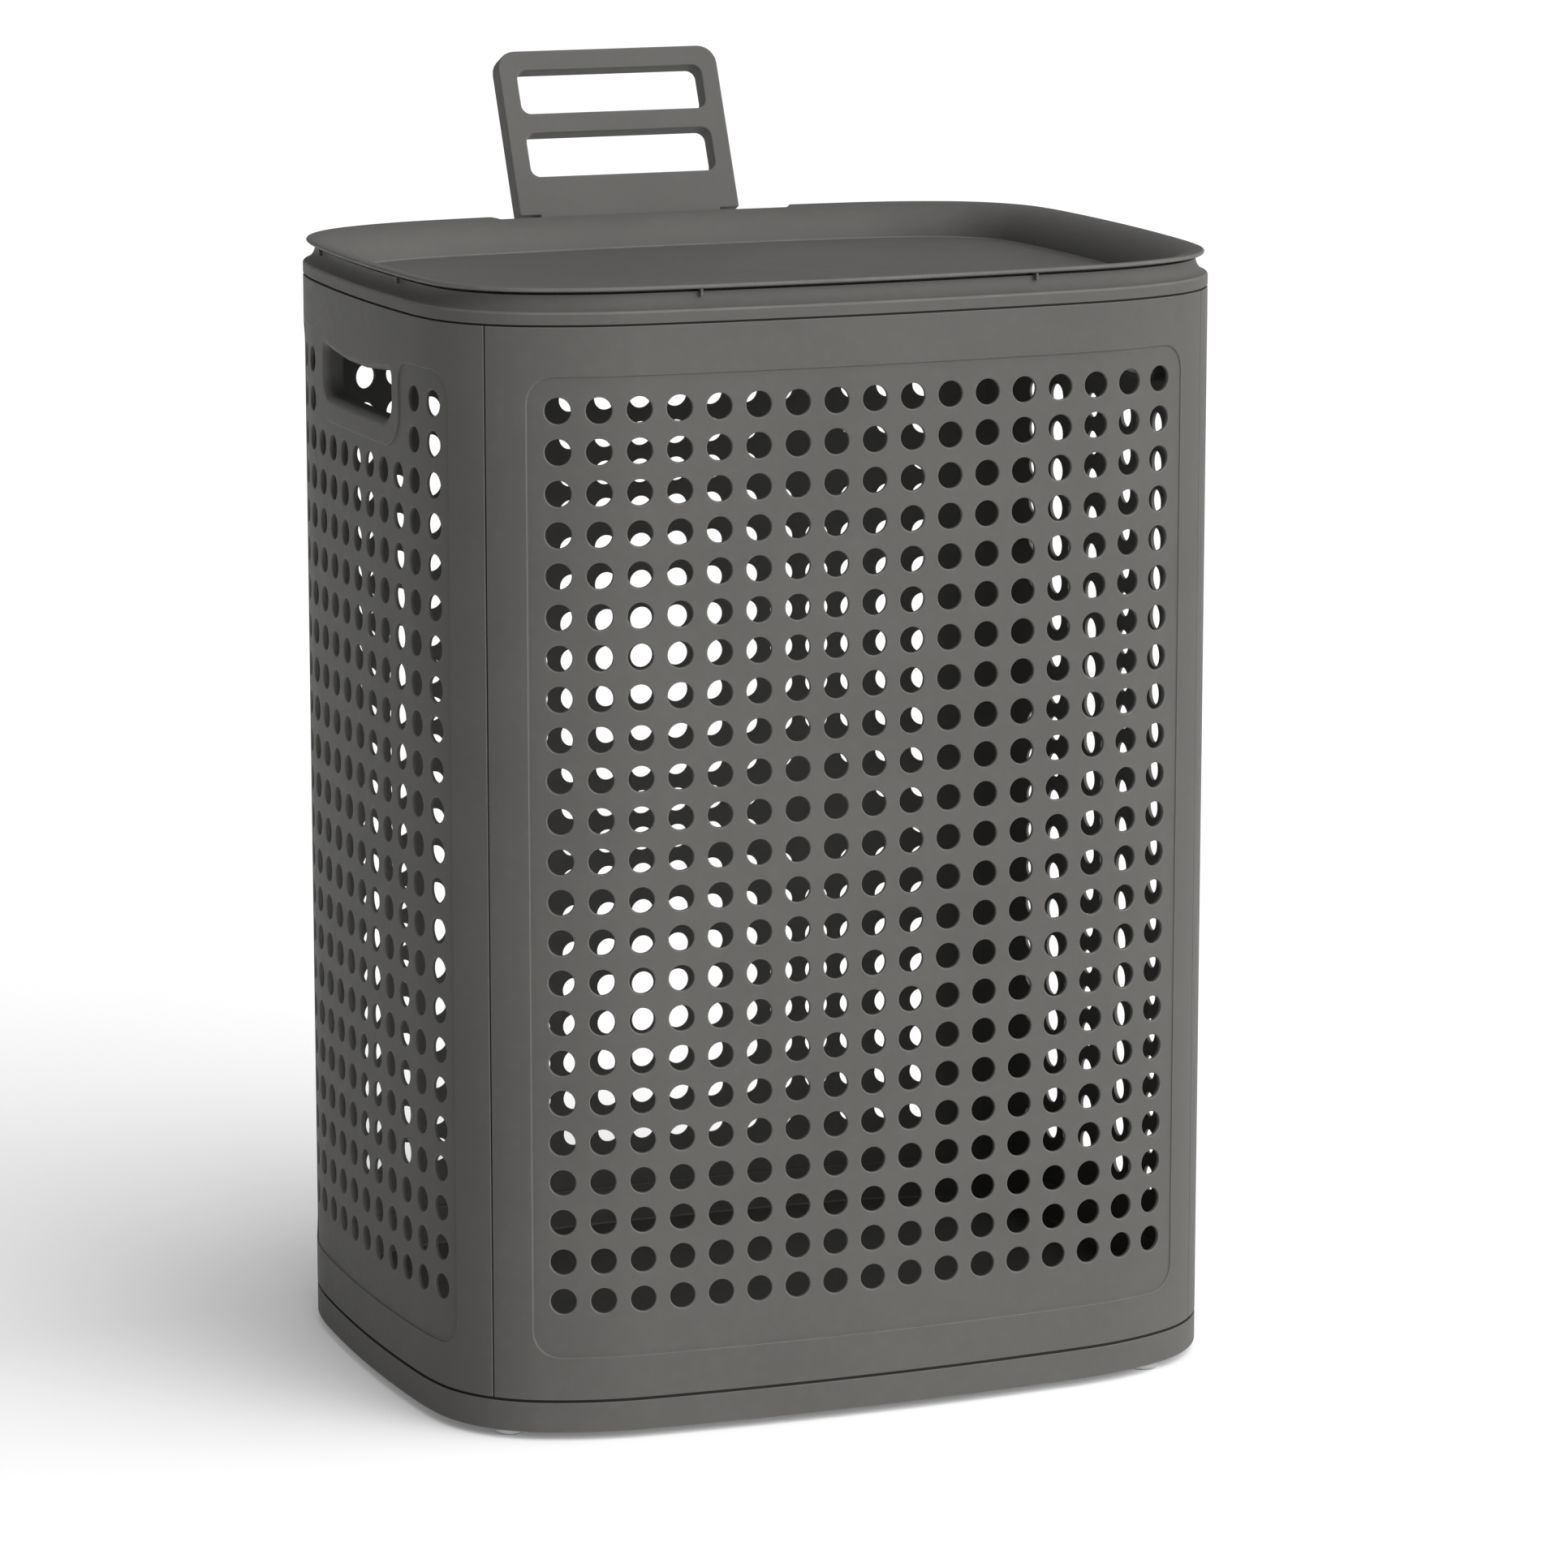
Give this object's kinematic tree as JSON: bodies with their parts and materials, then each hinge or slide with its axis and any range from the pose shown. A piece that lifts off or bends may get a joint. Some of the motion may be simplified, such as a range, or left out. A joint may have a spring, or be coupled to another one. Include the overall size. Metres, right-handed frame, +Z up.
{
  "type": "laundry hamper",
  "caption": "Free-standing perforated laundry hamper with side hand holds, a lift-off tray lid and a slotted rail that folds down behind it.",
  "frame": {"origin": "middle of the body's plan outline, on the surface that the feet stand on", "axes": "+Z up, front faces -Y, +X to the right of a person who stands in front of it"},
  "size_m": [0.424, 0.3853, 0.651],
  "materials": {
    "plastic": "fine matte grain, warm dark grey",
    "steel": "bright zinc",
    "foot_rubber": "clear soft rubber, slightly milky"
  },
  "bodies": {
    "hamper": {"base_tray": "plastic", "front_panel": "plastic", "back_panel": "plastic", "left_panel": "plastic", "right_panel": "plastic", "rim_frame": "plastic", "rail_bracket_left": "plastic", "rail_bracket_right": "plastic", "seam_strip_front_left": "plastic", "seam_strip_front_right": "plastic", "seam_strip_back_left": "plastic", "seam_strip_back_right": "plastic", "rail_pin": "steel", "bracket_screws": "steel", "foot_front_left": "foot_rubber", "foot_front_right": "foot_rubber", "foot_back_left": "foot_rubber", "foot_back_right": "foot_rubber"},
    "lid": {"lid": "plastic"},
    "rail": {"rail_plate": "plastic"}
  },
  "joints": [
    {"name": "lid_lift", "type": "slide", "parent": "hamper", "child": "lid", "axis": [0, 0, 1], "range_m": [0, 0.15]},
    {"name": "rail_fold", "type": "hinge", "parent": "hamper", "child": "rail", "pos_m": [0, 0.176, 0.558], "axis": [1, 0, 0], "range_deg": [-150, 20]}
  ]
}
